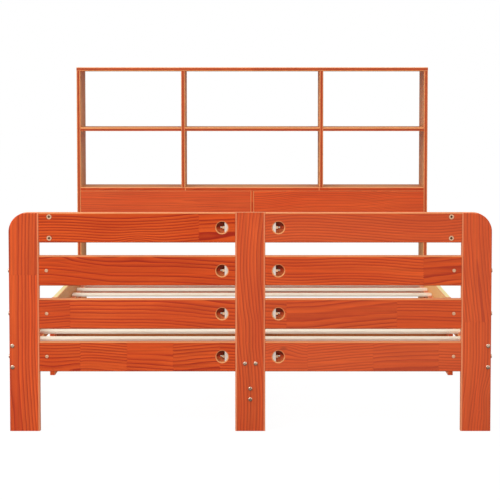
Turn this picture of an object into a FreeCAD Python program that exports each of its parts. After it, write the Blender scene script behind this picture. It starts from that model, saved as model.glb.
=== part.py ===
"""Storage headboard bed: a slatted footboard on three posts, split side rails on middle
posts, a slatted base on a centre beam, and an open bookcase that stands at the head end.

Millimetres, +Z up. The foot end faces -Y and the bookcase stands at +Y. The origin is on
the floor, under the centre of the whole bed.
"""
import FreeCAD, Part
import math
import os

V = FreeCAD.Vector
ALONG_X = V(1, 0, 0)
ALONG_Y = V(0, 1, 0)
ALONG_Z = V(0, 0, 1)
SIDES = (-1, 1)
FOOT, HEAD = -1, 1

# Bed frame
frame_width = 1440.0
clear_length = 2018.0
board_height = 90.0
board_gap = 39.0
board_rows = 4
ground_clearance = 180.0
foot_thickness = 22.0
rail_thickness = 18.0
foot_rail_length = 1012.0
post_corner_radius = 58.0
edge_easing = 1.8

# Slatted base
slat_count = 12
slat_width = 50.0
slat_thickness = 10.0
slat_side_gap = 2.0
slat_foot_gap = 30.0
slat_head_gap = 8.0
ledger_width = 18.0
ledger_height = 18.0
ledger_lift = 15.0
ledger_foot_gap = 28.0
cross_beam_setback = 66.0
beam_seat_height = 135.0
head_block_width = 50.0
head_block_depth = 40.0

# Bookcase
case_depth = 225.0
case_board = 15.0
shelf_underside = 600.0
compartment_height = 231.0
centre_bay_width = 553.0
apron_height = 90.0

# Bolts and barrel nuts
bolt_radius = 3.0
bolt_head_radius = 6.5
bolt_head_height = 3.3
bolt_pair_spacing = 64.0
bolt_past_nut = 6.0
nut_inset = 22.0
barrel_nut_radius = 5.0
barrel_nut_length = 14.0
board_nut_length = 18.0
beam_bolt_spacing = 32.0
seat_bolt_height = 112.0

# Cams and their pins
cam_radius = 7.5
cam_inset = 31.0
cam_slot_width = 2.0
cam_slot_length = 9.0
cam_slot_depth = 2.5
cam_pin_radius = 3.0
cam_pin_anchor = 12.0

# Tie rods with half-moon washers, in the footboard and in the side rails
foot_rod_radius = 4.0
foot_rod_depth = 10.0
foot_pocket_radius = 17.5
foot_pocket_depth = 18.5
foot_pocket_inset = 39.0
foot_nut_width = 13.0
foot_nut_thickness = 6.5
foot_washer_chord = 7.7
foot_washer_width = 15.5
rail_rod_radius = 3.0
rail_rod_depth = 8.0
rail_rod_height = 240.0
rail_pocket_radius = 12.5
rail_pocket_depth = 14.5
rail_pocket_inset = 27.0
rail_nut_width = 10.0
rail_nut_thickness = 5.0
rail_washer_chord = 5.5
rail_washer_width = 12.2
rod_past_nut = 6.5
pocket_chamfer = 1.2

# Fits
hole_fit = 0.3
thread_fit = 0.1
cut_overrun = 2.0

# Flat sides of small bars, heads and holes
shank_sides = 6
nut_sides = 6
head_sides = 12

# Places across the bed
half_width = frame_width / 2
rail_inside = half_width - rail_thickness
post_inside = half_width - board_height
case_inside = half_width - case_board
bay_inside = centre_bay_width / 2
block_inside = case_inside - head_block_width

# Places along the bed
overall_length = foot_thickness + clear_length + case_depth
foot_front = (bolt_head_height - overall_length) / 2
foot_middle = foot_front + foot_thickness / 2
foot_rear = foot_front + foot_thickness
leg_front = foot_rear + foot_rail_length
leg_middle = leg_front + board_height / 2
leg_rear = leg_front + board_height
cross_beam_front = leg_front + cross_beam_setback
cross_beam_middle = cross_beam_front + rail_thickness / 2
cross_beam_rear = cross_beam_front + rail_thickness
case_front = foot_rear + clear_length
case_rear = case_front + case_depth
head_rail_front = case_front - rail_thickness
head_rail_middle = case_front - rail_thickness / 2
foot_rod_y = foot_front + foot_rod_depth

# Heights
board_pitch = board_height + board_gap
rail_top = ground_clearance + board_height
rail_middle = ground_clearance + board_height / 2
foot_height = ground_clearance + board_rows * board_pitch - board_gap
slat_underside = ground_clearance + ledger_lift + ledger_height
slat_top = slat_underside + slat_thickness
beam_underside = slat_underside - rail_thickness
beam_mid_height = slat_underside - rail_thickness / 2
cross_mid_height = beam_underside - board_height / 2
shelf_pitch = case_board + compartment_height
top_underside = shelf_underside + 2 * shelf_pitch
case_height = top_underside + case_board

# Bolt lengths under the head
board_bolt_length = board_height + nut_inset + bolt_past_nut
post_bolt_length = foot_thickness + nut_inset + bolt_past_nut
rail_bolt_length = rail_thickness + nut_inset + bolt_past_nut


def box(x_range, y_range, z_range):
    """Plain box between two values on each axis."""
    size = [high - low for low, high in (x_range, y_range, z_range)]
    return Part.makeBox(*size, V(x_range[0], y_range[0], z_range[0]))


def about(middle, width):
    """Lowest and highest value of a width about its middle."""
    return (middle - width / 2, middle + width / 2)


def on_side(side, low, high):
    """Range from low to high on the right side, or its mirror image on the left side."""
    return (low, high) if side > 0 else (-high, -low)


def back(direction):
    """The opposite direction."""
    return V(direction).multiply(-1)


def is_along(edge, direction):
    """True for a straight edge that runs in the given direction."""
    if not isinstance(edge.Curve, Part.Line):
        return False
    ends = [vertex.Point for vertex in edge.Vertexes]
    return (ends[1] - ends[0]).cross(direction).Length < edge.Length * edge_easing / frame_width


def plank(x_range, y_range, z_range, grain):
    """Board whose four long edges, along its grain, are eased."""
    board = box(x_range, y_range, z_range)
    return board.makeChamfer(edge_easing, [edge for edge in board.Edges if is_along(edge, grain)])


def hole(start, inward, radius, depth, sides=0):
    """Cutter for a hole that starts a little outside its face; round where it has no sides."""
    lead = V(inward).multiply(cut_overrun)
    if sides:
        return prism(start - lead, inward, radius, depth + cut_overrun, sides)
    return Part.makeCylinder(radius, depth + cut_overrun, start - lead, inward)


def placed(shape, seat, outward):
    """The shape, moved so that its own +Z points outward from the seat."""
    shape.Placement = FreeCAD.Placement(seat, FreeCAD.Rotation(ALONG_Z, outward))
    return shape


def prism(start, direction, radius, length, sides=shank_sides):
    """Straight bar with flat sides, its radius measured to the flats."""
    corner = radius / math.cos(math.pi / sides)
    turns = [math.pi * (2 * step + 1) / sides for step in range(sides + 1)]
    points = [V(corner * math.cos(turn), corner * math.sin(turn), 0) for turn in turns]
    return placed(Part.Face(Part.makePolygon(points)).extrude(V(0, 0, length)), start, direction)


def bolt(seat, outward, length):
    """Bolt with a flat head on the seat."""
    head = prism(seat, outward, bolt_head_radius, bolt_head_height, head_sides)
    return head.fuse(prism(seat, back(outward), bolt_radius, length))


def bolt_holes(places, length):
    """Clearance holes for bolts, through every board that they cross."""
    radius = bolt_radius + hole_fit
    return [hole(seat, back(outward), radius, length + hole_fit, shank_sides) for seat, outward in places]


def crossed(body, mouth, inward, bolt_direction, bolt_depth):
    """Barrel nut body with the hole of the bolt that crosses it at bolt_depth."""
    crossing = mouth + V(inward).multiply(bolt_depth)
    half_run = barrel_nut_radius + cut_overrun
    start = crossing - V(bolt_direction).multiply(half_run)
    return body.cut(prism(start, bolt_direction, bolt_radius + thread_fit, 2 * half_run))


def shown_barrel_nut(mouth):
    """Cross nut of a footboard board, flush with the front."""
    body = prism(mouth, ALONG_Y, barrel_nut_radius, board_nut_length, head_sides)
    return crossed(body, mouth, ALONG_Y, ALONG_X, foot_thickness / 2)


def frame_barrel_nut(mouth, inward, bolt_direction):
    """Cross nut inside the frame, flush with the face that it enters."""
    body = prism(mouth, inward, barrel_nut_radius, barrel_nut_length, nut_sides)
    return crossed(body, mouth, inward, bolt_direction, rail_thickness / 2)


def hex_nut(seat, outward, width, thickness, bore_radius):
    """Hexagon nut that stands on its seat."""
    bore = hole(seat, outward, bore_radius + thread_fit, thickness + cut_overrun, shank_sides)
    return prism(seat, outward, width / 2, thickness, 6).cut(bore)


class TiePocket:
    """Round pocket in the face of a board, where a tie rod ends in a washer and a nut.

    The rod runs parallel to the face through the edge of the board next to the post. The
    half-moon washer fills the post side of the pocket and gives the nut a flat seat.
    """

    def __init__(self, mouth, opening, to_post):
        self.mouth = mouth
        self.opening = opening
        self.to_post = to_post

    def cutter(self, radius, depth):
        """The round pocket itself."""
        return hole(self.mouth, back(self.opening), radius, depth)

    def rim_cutter(self, radius):
        """The broken rim of the pocket."""
        inward = back(self.opening)
        return Part.makeCone(radius + pocket_chamfer, radius, pocket_chamfer, self.mouth, inward)

    def axis_point(self, rod_depth, towards_post):
        """Point on the axis of the rod, measured from the middle of the pocket."""
        return self.mouth - V(self.opening).multiply(rod_depth) + V(self.to_post).multiply(towards_post)

    def washer(self, radius, chord, width, rod_radius, rod_depth):
        """Segment of a disc between the chord and the wall of the pocket."""
        radius = radius - hole_fit
        reach = math.sqrt(radius**2 - chord**2)
        across = self.opening.cross(self.to_post).multiply(reach)
        face_depth = rod_depth - width / 2
        chord_middle = self.axis_point(face_depth, chord)
        ends = (chord_middle - across, chord_middle + across)
        bow = Part.Arc(ends[1], self.axis_point(face_depth, radius), ends[0]).toShape()
        flat = Part.LineSegment(*ends).toShape()
        body = Part.Face(Part.Wire([flat, bow])).extrude(V(self.opening).multiply(-width))
        axis = self.axis_point(rod_depth, 0)
        return body.cut(prism(axis, self.to_post, rod_radius + hole_fit, radius + cut_overrun))


def board_mid_height(row):
    """Height of the middle of a footboard board; row 0 is the lowest."""
    return rail_middle + row * board_pitch


def bolted_rows():
    """Footboard boards whose outer ends hang on bolts; the top one hangs on cams."""
    return range(board_rows - 1)


def slat_middle(index):
    """Place along the bed of the middle of a slat."""
    first = foot_rear + slat_foot_gap + slat_width / 2
    last = head_rail_front - slat_head_gap - slat_width / 2
    return first + (last - first) * index / (slat_count - 1)


def shelf_mid_height(level):
    """Height of the middle of a shelf; level 0 is the lowest."""
    return shelf_underside + level * shelf_pitch + case_board / 2


def foot_pockets():
    """Tie-rod pockets in the front of the footboard."""
    return [TiePocket(V(side * (board_height / 2 + foot_pocket_inset), foot_front, board_mid_height(row)),
                      back(ALONG_Y), V(-side, 0, 0))
            for side in SIDES for row in range(board_rows)]


def rail_pockets():
    """Tie-rod pockets on the inside of the side rails."""
    reach = board_height / 2 + rail_pocket_inset
    return [TiePocket(V(side * rail_inside, leg_middle + end * reach, rail_rod_height),
                      V(-side, 0, 0), V(0, -end, 0))
            for side in SIDES for end in (FOOT, HEAD)]


def foot_rod_length():
    """Tie rod from nut to nut through the centre post, with both tips past the nuts."""
    seats_apart = board_height + 2 * (foot_pocket_inset - foot_washer_chord)
    return seats_apart + 2 * (foot_nut_thickness + rod_past_nut)


def rail_rod_length():
    """Tie rod from nut to nut through a middle post, with both tips past the nuts."""
    seats_apart = board_height + 2 * (rail_pocket_inset - rail_washer_chord)
    return seats_apart + 2 * (rail_nut_thickness + rod_past_nut)


def foot_rod_starts():
    """Left ends of the tie rods of the footboard."""
    return [V(-foot_rod_length() / 2, foot_rod_y, board_mid_height(row)) for row in range(board_rows)]


def rail_rods(fit=0.0):
    """Tie rods of the side rails, or with a fit the cutters for their holes."""
    x = rail_inside + rail_rod_depth
    y = leg_middle - rail_rod_length() / 2
    return [prism(V(side * x, y, rail_rod_height), ALONG_Y, rail_rod_radius + fit, rail_rod_length())
            for side in SIDES]


def board_bolt_places():
    """Long bolts from the outer faces of the corner posts into the boards."""
    return [(V(side * half_width, foot_middle, board_mid_height(row)), V(side, 0, 0))
            for side in SIDES for row in bolted_rows()]


def post_bolt_places():
    """Bolts from the fronts of the posts into the rails, the centre beam and its seat."""
    rail_x = half_width - rail_thickness / 2
    rails = [(side * rail_x, z) for side in SIDES for z in about(rail_middle, bolt_pair_spacing)]
    beam = [(x, beam_mid_height) for x in about(0, beam_bolt_spacing)]
    seat = [(0, z) for z in about(seat_bolt_height, beam_bolt_spacing)]
    return [(V(x, foot_front, z), back(ALONG_Y)) for x, z in rails + beam + seat]


def rail_bolt_places():
    """Bolts through one rail thickness: into the head rail, the cross beam and the centre beam."""
    places = []
    for side in SIDES:
        for y, middle in ((head_rail_middle, rail_middle), (cross_beam_middle, cross_mid_height)):
            for z in about(middle, bolt_pair_spacing):
                places.append((V(side * half_width, y, z), V(side, 0, 0)))
    for x in about(0, beam_bolt_spacing):
        places.append((V(x, case_front, beam_mid_height), ALONG_Y))
    return places


def board_nut_places():
    """Mouths of the barrel nuts that show on the front of the footboard."""
    x = post_inside - nut_inset
    return [V(side * x, foot_front, board_mid_height(row)) for side in SIDES for row in bolted_rows()]


def frame_nut_places():
    """Mouth, inward direction and bolt direction of each barrel nut inside the frame."""
    places = []
    for side in SIDES:
        outward = V(side, 0, 0)
        for z in about(rail_middle, bolt_pair_spacing):
            places.append((V(side * rail_inside, foot_rear + nut_inset, z), outward, ALONG_Y))
            places.append((V(side * (rail_inside - nut_inset), head_rail_front, z), ALONG_Y, ALONG_X))
        for z in about(cross_mid_height, bolt_pair_spacing):
            mouth = V(side * (rail_inside - nut_inset), cross_beam_rear, z)
            places.append((mouth, back(ALONG_Y), ALONG_X))
    for x in about(0, beam_bolt_spacing):
        for y in (foot_rear + nut_inset, head_rail_front - nut_inset):
            places.append((V(x, y, beam_underside), ALONG_Z, ALONG_Y))
    return places


def cam_places():
    """Middles of the cams on the front of the top boards, with the way to the post."""
    x = post_inside - cam_inset
    return [(V(side * x, foot_front, z), V(side, 0, 0))
            for side in SIDES for z in about(board_mid_height(board_rows - 1), bolt_pair_spacing)]


def cam_depth():
    """Depth of a cam: it reaches past the pin that it grips."""
    return foot_thickness / 2 + cam_pin_radius + hole_fit


def cam_pin_ends(place, to_post):
    """First point and length of a cam pin, from inside the cam into the post."""
    start = V(place.x, foot_middle, place.z) + V(to_post).multiply(hole_fit)
    return start, cam_inset + cam_pin_anchor - hole_fit


def all_holes():
    """Cutters for every hole and pocket; each lines up with its fitting."""
    cutters = bolt_holes(board_bolt_places(), board_bolt_length)
    cutters += bolt_holes(post_bolt_places(), post_bolt_length)
    cutters += bolt_holes(rail_bolt_places(), rail_bolt_length)
    nut_radius = barrel_nut_radius + hole_fit
    cutters += [hole(mouth, ALONG_Y, nut_radius, board_nut_length + hole_fit, head_sides)
                for mouth in board_nut_places()]
    cutters += [hole(mouth, inward, nut_radius, barrel_nut_length + hole_fit, nut_sides)
                for mouth, inward, _ in frame_nut_places()]
    for pocket in foot_pockets():
        cutters.append(pocket.cutter(foot_pocket_radius, foot_pocket_depth))
        cutters.append(pocket.rim_cutter(foot_pocket_radius))
    cutters += [pocket.cutter(rail_pocket_radius, rail_pocket_depth) for pocket in rail_pockets()]
    cutters += [prism(start, ALONG_X, foot_rod_radius + hole_fit, foot_rod_length())
                for start in foot_rod_starts()]
    cutters += rail_rods(hole_fit)
    for place, to_post in cam_places():
        cutters.append(hole(place, ALONG_Y, cam_radius + hole_fit, cam_depth() + hole_fit, head_sides))
        start, length = cam_pin_ends(place, to_post)
        cutters.append(prism(start, to_post, cam_pin_radius + hole_fit, length + hole_fit))
    return cutters


def drilled(board, cutters):
    """The board with the holes of every fastener that crosses it."""
    crossing = [cutter for cutter in cutters if cutter.BoundBox.intersect(board.BoundBox)]
    return board.cut(crossing) if crossing else board


def corner_post(side):
    """Footboard corner post with its outer top corner rounded."""
    bend = post_corner_radius * (1 - math.cos(math.pi / 4))
    outline = [
        V(side * (half_width - post_corner_radius), foot_front, foot_height),
        V(side * post_inside, foot_front, foot_height),
        V(side * post_inside, foot_front, 0),
        V(side * half_width, foot_front, 0),
        V(side * half_width, foot_front, foot_height - post_corner_radius),
    ]
    edges = [Part.LineSegment(a, b).toShape() for a, b in zip(outline, outline[1:])]
    crown = V(side * (half_width - bend), foot_front, foot_height - bend)
    edges.append(Part.Arc(outline[-1], crown, outline[0]).toShape())
    post = Part.Face(Part.Wire(edges)).extrude(V(0, foot_thickness, 0))
    long_edges = [edge for edge in post.Edges if edge.BoundBox.ZMax > edge_easing]
    return post.makeChamfer(edge_easing, [edge for edge in long_edges if not is_along(edge, ALONG_Y)])


def footboard_boards():
    """The three posts and the half boards between them."""
    depth = (foot_front, foot_rear)
    boards = {"footboard_centre_post": plank(about(0, board_height), depth, (0, foot_height), ALONG_Z)}
    for side, hand in zip(SIDES, ("left", "right")):
        boards[f"footboard_post_{hand}"] = corner_post(side)
        width = on_side(side, board_height / 2, post_inside)
        for row in range(board_rows):
            heights = about(board_mid_height(row), board_height)
            boards[f"footboard_board_{hand}_{row + 1}"] = plank(width, depth, heights, ALONG_X)
    return boards


def rail_boards():
    """Side rails in two halves, the posts between them and the rail at the head."""
    heights = (ground_clearance, rail_top)
    head_depth = (head_rail_front, case_front)
    boards = {"head_rail": plank(about(0, 2 * rail_inside), head_depth, heights, ALONG_X)}
    for side, hand in zip(SIDES, ("left", "right")):
        width = on_side(side, rail_inside, half_width)
        boards[f"side_rail_{hand}_foot"] = plank(width, (foot_rear, leg_front), heights, ALONG_Y)
        boards[f"side_rail_{hand}_head"] = plank(width, (leg_rear, case_front), heights, ALONG_Y)
        boards[f"middle_post_{hand}"] = plank(width, (leg_front, leg_rear), (0, rail_top), ALONG_Z)
    return boards


def beam_boards():
    """The cross beam, the flat centre beam in two halves, its leg and its seat."""
    width = about(0, board_height)
    cross_heights = about(cross_mid_height, board_height)
    beam_heights = (beam_underside, slat_underside)
    leg_depth = (cross_beam_front - rail_thickness, cross_beam_front)
    seat_depth = (foot_rear, foot_rear + rail_thickness)
    seat_heights = (beam_underside - beam_seat_height, beam_underside)
    cross_width = about(0, 2 * rail_inside)
    cross_depth = (cross_beam_front, cross_beam_rear)
    return {
        "cross_beam": plank(cross_width, cross_depth, cross_heights, ALONG_X),
        "centre_beam_foot": plank(width, (foot_rear, cross_beam_front), beam_heights, ALONG_Y),
        "centre_beam_head": plank(width, (cross_beam_front, head_rail_front), beam_heights, ALONG_Y),
        "centre_leg": plank(width, leg_depth, (0, beam_underside), ALONG_Z),
        "centre_beam_seat": plank(width, seat_depth, seat_heights, ALONG_Z),
    }


def ledgers():
    """Strips inside the rails that carry the slat ends."""
    heights = (slat_underside - ledger_height, slat_underside)
    runs = {"foot": (foot_rear + ledger_foot_gap, leg_middle), "head": (leg_middle, head_rail_front)}
    boards = {}
    for side, hand in zip(SIDES, ("left", "right")):
        width = on_side(side, rail_inside - ledger_width, rail_inside)
        for end, run in runs.items():
            boards[f"slat_ledger_{hand}_{end}"] = plank(width, run, heights, ALONG_Y)
    return boards


def slats():
    """Evenly spaced slats across the bed."""
    width = about(0, 2 * (rail_inside - slat_side_gap))
    return [plank(width, about(slat_middle(index), slat_width), (slat_underside, slat_top), ALONG_X)
            for index in range(slat_count)]


def head_blocks():
    """Blocks in the corners of the bookcase sides, behind the ends of the head rail."""
    depth = (case_front, case_front + head_block_depth)
    heights = (ground_clearance, rail_top)
    return {f"head_block_{hand}": plank(on_side(side, block_inside, case_inside), depth, heights, ALONG_Z)
            for side, hand in zip(SIDES, ("left", "right"))}


def bookcase_boards():
    """The panels, shelves, dividers and aprons of the bookcase."""
    depth = (case_front, case_rear)
    front_depth = (case_front, case_front + case_board)
    centre = about(0, case_board)
    boards = {"bookcase_centre_panel": plank(centre, depth, (0, shelf_underside), ALONG_Z)}
    for side, hand in zip(SIDES, ("left", "right")):
        outer = on_side(side, case_inside, half_width)
        bay = on_side(side, bay_inside, case_inside)
        upper_bay = on_side(side, bay_inside + case_board, case_inside)
        divider = on_side(side, bay_inside, bay_inside + case_board)
        apron = on_side(side, case_board / 2, case_inside)
        apron_heights = (shelf_underside - apron_height, shelf_underside)
        divider_heights = (shelf_underside + case_board, top_underside)
        low = about(shelf_mid_height(0), case_board)
        middle = about(shelf_mid_height(1), case_board)
        top = (top_underside, case_height)
        boards[f"bookcase_side_{hand}"] = plank(outer, depth, (0, top_underside), ALONG_Z)
        boards[f"bookcase_top_{hand}"] = plank(on_side(side, 0, half_width), depth, top, ALONG_X)
        boards[f"bookcase_divider_{hand}"] = plank(divider, depth, divider_heights, ALONG_Z)
        boards[f"bookcase_low_shelf_{hand}"] = plank(bay, depth, low, ALONG_X)
        boards[f"bookcase_middle_shelf_{hand}"] = plank(upper_bay, depth, middle, ALONG_X)
        boards[f"bookcase_apron_{hand}"] = plank(apron, front_depth, apron_heights, ALONG_X)
    bay = about(0, centre_bay_width)
    for level, place in enumerate(("low", "middle")):
        heights = about(shelf_mid_height(level), case_board)
        boards[f"bookcase_{place}_shelf_centre"] = plank(bay, depth, heights, ALONG_X)
    return boards


def cam(place, to_post):
    """Cam with a cross slot for a driver, open on the side where its pin enters."""
    slot_depth = (place.y - cut_overrun, place.y + cam_slot_depth)
    long_slot = box(about(place.x, cam_slot_length), slot_depth, about(place.z, cam_slot_width))
    tall_slot = box(about(place.x, cam_slot_width), slot_depth, about(place.z, cam_slot_length))
    axis = V(place.x, foot_middle, place.z)
    throat = prism(axis, to_post, cam_pin_radius + hole_fit, cam_radius + cut_overrun)
    disc = prism(place, ALONG_Y, cam_radius, cam_depth(), head_sides)
    return disc.cut([long_slot, tall_slot, throat])


def tie_fittings():
    """Tie rods with their half-moon washers and nuts, and the nuts behind the beam seat."""
    foot = foot_pockets()
    rail = rail_pockets()
    foot_moon = (foot_pocket_radius, foot_washer_chord, foot_washer_width, foot_rod_radius, foot_rod_depth)
    rail_moon = (rail_pocket_radius, rail_washer_chord, rail_washer_width, rail_rod_radius, rail_rod_depth)
    large = (foot_nut_width, foot_nut_thickness, foot_rod_radius)
    small = (rail_nut_width, rail_nut_thickness, rail_rod_radius)
    foot_seats = [(pocket.axis_point(foot_rod_depth, foot_washer_chord), back(pocket.to_post))
                  for pocket in foot]
    rail_seats = [(pocket.axis_point(rail_rod_depth, rail_washer_chord), back(pocket.to_post))
                  for pocket in rail]
    seat_rear = foot_rear + rail_thickness
    rail_seats += [(V(0, seat_rear, z), ALONG_Y) for z in about(seat_bolt_height, beam_bolt_spacing)]
    return {
        "footboard_tie_rods": [prism(start, ALONG_X, foot_rod_radius, foot_rod_length())
                               for start in foot_rod_starts()],
        "footboard_half_moons": [pocket.washer(*foot_moon) for pocket in foot],
        "footboard_rod_nuts": [hex_nut(seat, outward, *large) for seat, outward in foot_seats],
        "rail_tie_rods": rail_rods(),
        "rail_half_moons": [pocket.washer(*rail_moon) for pocket in rail],
        "small_nuts": [hex_nut(seat, outward, *small) for seat, outward in rail_seats],
    }


def fasteners():
    """Bolts, barrel nuts and cams; like ones share a name."""
    cams = cam_places()
    return {
        "board_bolts": [bolt(*place, board_bolt_length) for place in board_bolt_places()],
        "post_bolts": [bolt(*place, post_bolt_length) for place in post_bolt_places()],
        "rail_bolts": [bolt(*place, rail_bolt_length) for place in rail_bolt_places()],
        "board_barrel_nuts": [shown_barrel_nut(mouth) for mouth in board_nut_places()],
        "frame_barrel_nuts": [frame_barrel_nut(*place) for place in frame_nut_places()],
        "cams": [cam(place, to_post) for place, to_post in cams],
        "cam_pins": [prism(start, to_post, cam_pin_radius, length)
                     for place, to_post in cams for start, length in [cam_pin_ends(place, to_post)]],
    }


def write(name, solids):
    """One file for a node: a single solid, or a group of separate ones."""
    shape = solids[0] if len(solids) == 1 else Part.makeCompound(solids)
    shape.exportStep(f"parts/{name}.step")


def main():
    os.makedirs("parts", exist_ok=True)
    holes = all_holes()
    boards = {**footboard_boards(), **rail_boards(), **beam_boards(), **ledgers(), **head_blocks(),
              **bookcase_boards()}
    nodes = {name: [drilled(board, holes)] for name, board in boards.items()}
    nodes["slats"] = slats()
    nodes.update(tie_fittings())
    nodes.update(fasteners())
    for name, solids in nodes.items():
        write(name, solids)
    print(len(nodes), "nodes")


main()
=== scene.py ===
"""Looks of the storage headboard bed: stained pine boards with finger-jointed grain, bare
pine slats, and turned metal fittings, in a pale studio. Metres, in the frame of the model.
"""

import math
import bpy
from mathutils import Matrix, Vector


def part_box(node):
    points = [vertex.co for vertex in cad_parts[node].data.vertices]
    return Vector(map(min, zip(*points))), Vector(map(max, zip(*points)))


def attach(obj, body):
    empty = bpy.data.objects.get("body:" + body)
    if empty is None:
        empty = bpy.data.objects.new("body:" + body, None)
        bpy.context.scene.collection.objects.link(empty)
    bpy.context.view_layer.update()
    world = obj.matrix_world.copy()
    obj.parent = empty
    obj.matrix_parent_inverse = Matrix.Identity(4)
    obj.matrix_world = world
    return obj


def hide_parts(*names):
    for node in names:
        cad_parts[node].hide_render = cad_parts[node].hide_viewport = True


bl_info = {
    "name": "Storage Headboard Bed",
    "version": (1, 0, 0),
    "blender": (4, 5, 0),
    "location": "View3D > Sidebar > Bed",
    "description": "Dresses the storage headboard bed in stained pine, bare slats and metal fittings",
    "category": "Object",
}

import bmesh
import bpy
from mathutils import Matrix, Vector

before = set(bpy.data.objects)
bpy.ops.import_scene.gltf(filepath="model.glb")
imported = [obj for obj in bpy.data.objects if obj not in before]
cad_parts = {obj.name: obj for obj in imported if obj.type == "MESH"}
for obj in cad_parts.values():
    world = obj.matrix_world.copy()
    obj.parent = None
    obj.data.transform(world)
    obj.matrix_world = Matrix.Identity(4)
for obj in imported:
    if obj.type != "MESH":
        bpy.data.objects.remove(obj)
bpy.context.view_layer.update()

X, Y, Z = 0, 1, 2
UNIT = (Vector((1, 0, 0)), Vector((0, 1, 0)), Vector((0, 0, 1)))
HANDS = (("left", -1), ("right", 1))

METAL_NODES = ("board_bolts", "post_bolts", "rail_bolts", "board_barrel_nuts", "frame_barrel_nuts", "cams",
               "cam_pins", "footboard_tie_rods", "footboard_half_moons", "footboard_rod_nuts",
               "rail_tie_rods", "rail_half_moons", "small_nuts")
STAINED_NODES = tuple(sorted(set(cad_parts) - set(METAL_NODES) - {"slats"}))
PANEL_NODES = tuple(name for name in STAINED_NODES
                    if name.startswith("bookcase_") and "apron" not in name)

# First finger joint and block length along the boards that face the room, in metres, then how
# pale the stain is
BOARD_LOOKS = {
    "footboard_board_left_1": (-0.506, 0.139, 0.12),
    "footboard_board_left_2": (-0.536, 0.520, 0.17),
    "footboard_board_left_3": (-0.900, 1.400, 0.08),
    "footboard_board_left_4": (-0.151, 0.620, 0.04),
    "footboard_board_right_1": (0.370, 0.196, 0.40),
    "footboard_board_right_2": (0.110, 0.330, 0.26),
    "footboard_board_right_3": (0.519, 0.700, 0.18),
    "footboard_board_right_4": (-0.200, 1.200, 0.34),
    "footboard_post_left": (0.473, 0.900, 0.25),
    "footboard_post_right": (0.331, 0.900, 0.42),
    "footboard_centre_post": (-0.200, 1.400, 0.33),
    "bookcase_apron_left": (-0.950, 1.600, 0.38),
    "bookcase_apron_right": (-0.150, 1.600, 0.30),
}
# How strongly the grain shows on these boards and on the others, how pale the others are, and
# the width of a stave that no board reaches across
SEEN_GRAIN, PLAIN_GRAIN = 1.0, 0.7
PLAIN_PALENESS = 0.15
ONE_STAVE = 10.0

SLAT_KNOT = (0.30, 0.14, 0.05)
# Painted shade for the upper faces of the slats, against the light from above
SLAT_UPPER_SHADE = (0.86, 0.74, 0.56)
# Painted shade for the recesses of the cams and the sides of the nuts in the pockets
PAINTED_SHADE = (0.16, 0.075, 0.030)


def Colour(name, description, default):
    """A colour that a user can change."""
    return bpy.props.FloatVectorProperty(name=name, description=description, default=default, size=3,
                                         min=0, max=1, subtype="COLOR")


def Length(name, description, default, **limits):
    """A length that a user can change."""
    return bpy.props.FloatProperty(name=name, description=description, default=default, unit="LENGTH",
                                   **limits)


def Number(name, description, default, subtype="NONE"):
    """Another number that a user can change."""
    return bpy.props.FloatProperty(name=name, description=description, default=default, subtype=subtype)


class BedTimber(bpy.types.PropertyGroup):
    """Colours and scale of the timber."""

    stain_light: Colour("Stain, light", "Early wood under the stain", (0.860, 0.112, 0.012))
    stain_mid: Colour("Stain, middle", "Main colour of the stained boards", (0.740, 0.074, 0.005))
    stain_dark: Colour("Stain, dark", "Late wood lines under the stain", (0.400, 0.012, 0.001))
    stain_pale: Colour("Stain, pale", "Veil of the paler boards", (0.860, 0.165, 0.062))
    # Thin stain on the eased edges with painted highlight; also the painted light low in the pockets
    edge_stain_and_highlight: Colour("Stain, edges", "Eased edges, where the stain is thin", (0.980, 0.420, 0.160))
    # Thin stain on the eased edges of the uprights, with painted highlight
    upright_stain_and_highlight: Colour("Stain, upright edges", "Eased edges of the posts", (1.000, 0.340, 0.155))
    stain_knot: Colour("Stain, knots", "Knots under the stain", (0.230, 0.020, 0.004))
    # Painted shade on the inner faces of the left side rails
    left_rail_shade: Colour("Stain, thin", "Inner faces of the left side rails", (0.450, 0.190, 0.060))
    # Painted light on the inner faces of the right side rails
    right_rail_light: Colour("Stain, thinner", "Inner faces of the right side rails", (1.000, 0.600, 0.200))
    # Painted highlight on the upper edges of the side rails
    rail_top_highlight: Colour("Stain, rail tops", "Upper edges of the side rails", (1.000, 0.880, 0.410))
    # Painted shade for the inner faces of the bookcase uprights and for the cross beam
    shadow_brown: Colour("Stain, shaded", "Inner faces of the bookcase uprights, and the cross beam",
                        (0.370, 0.150, 0.034))
    # Painted sheen on the upper faces of the bookcase shelves
    shelf_top_sheen: Colour("Stain, shelf tops", "Upper faces of the bookcase shelves", (0.980, 0.360, 0.070))
    # Painted shade in the upper part of the tie-rod pockets
    pocket_shade: Colour("Stain, pockets", "Upper part of the tie-rod pockets", (0.240, 0.030, 0.005))
    stain_rim: Colour("Stain, rims", "Narrow front edges of the bookcase boards", (0.400, 0.090, 0.035))
    bare_light: Colour("Bare pine, light", "Early wood of the slats", (0.980, 0.900, 0.745))
    bare_dark: Colour("Bare pine, dark", "Late wood of the slats", (0.840, 0.660, 0.440))
    ring_spacing: Length("Ring spacing", "Distance between growth rings", 0.0082, min=0.001, max=0.03)
    stave_width: Length("Stave width", "Width of the staves of the glued panels", 0.045, min=0.02, max=0.2)
    block_length: Length("Block length", "Length between finger joints", 0.43, min=0.1, max=2)


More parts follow.
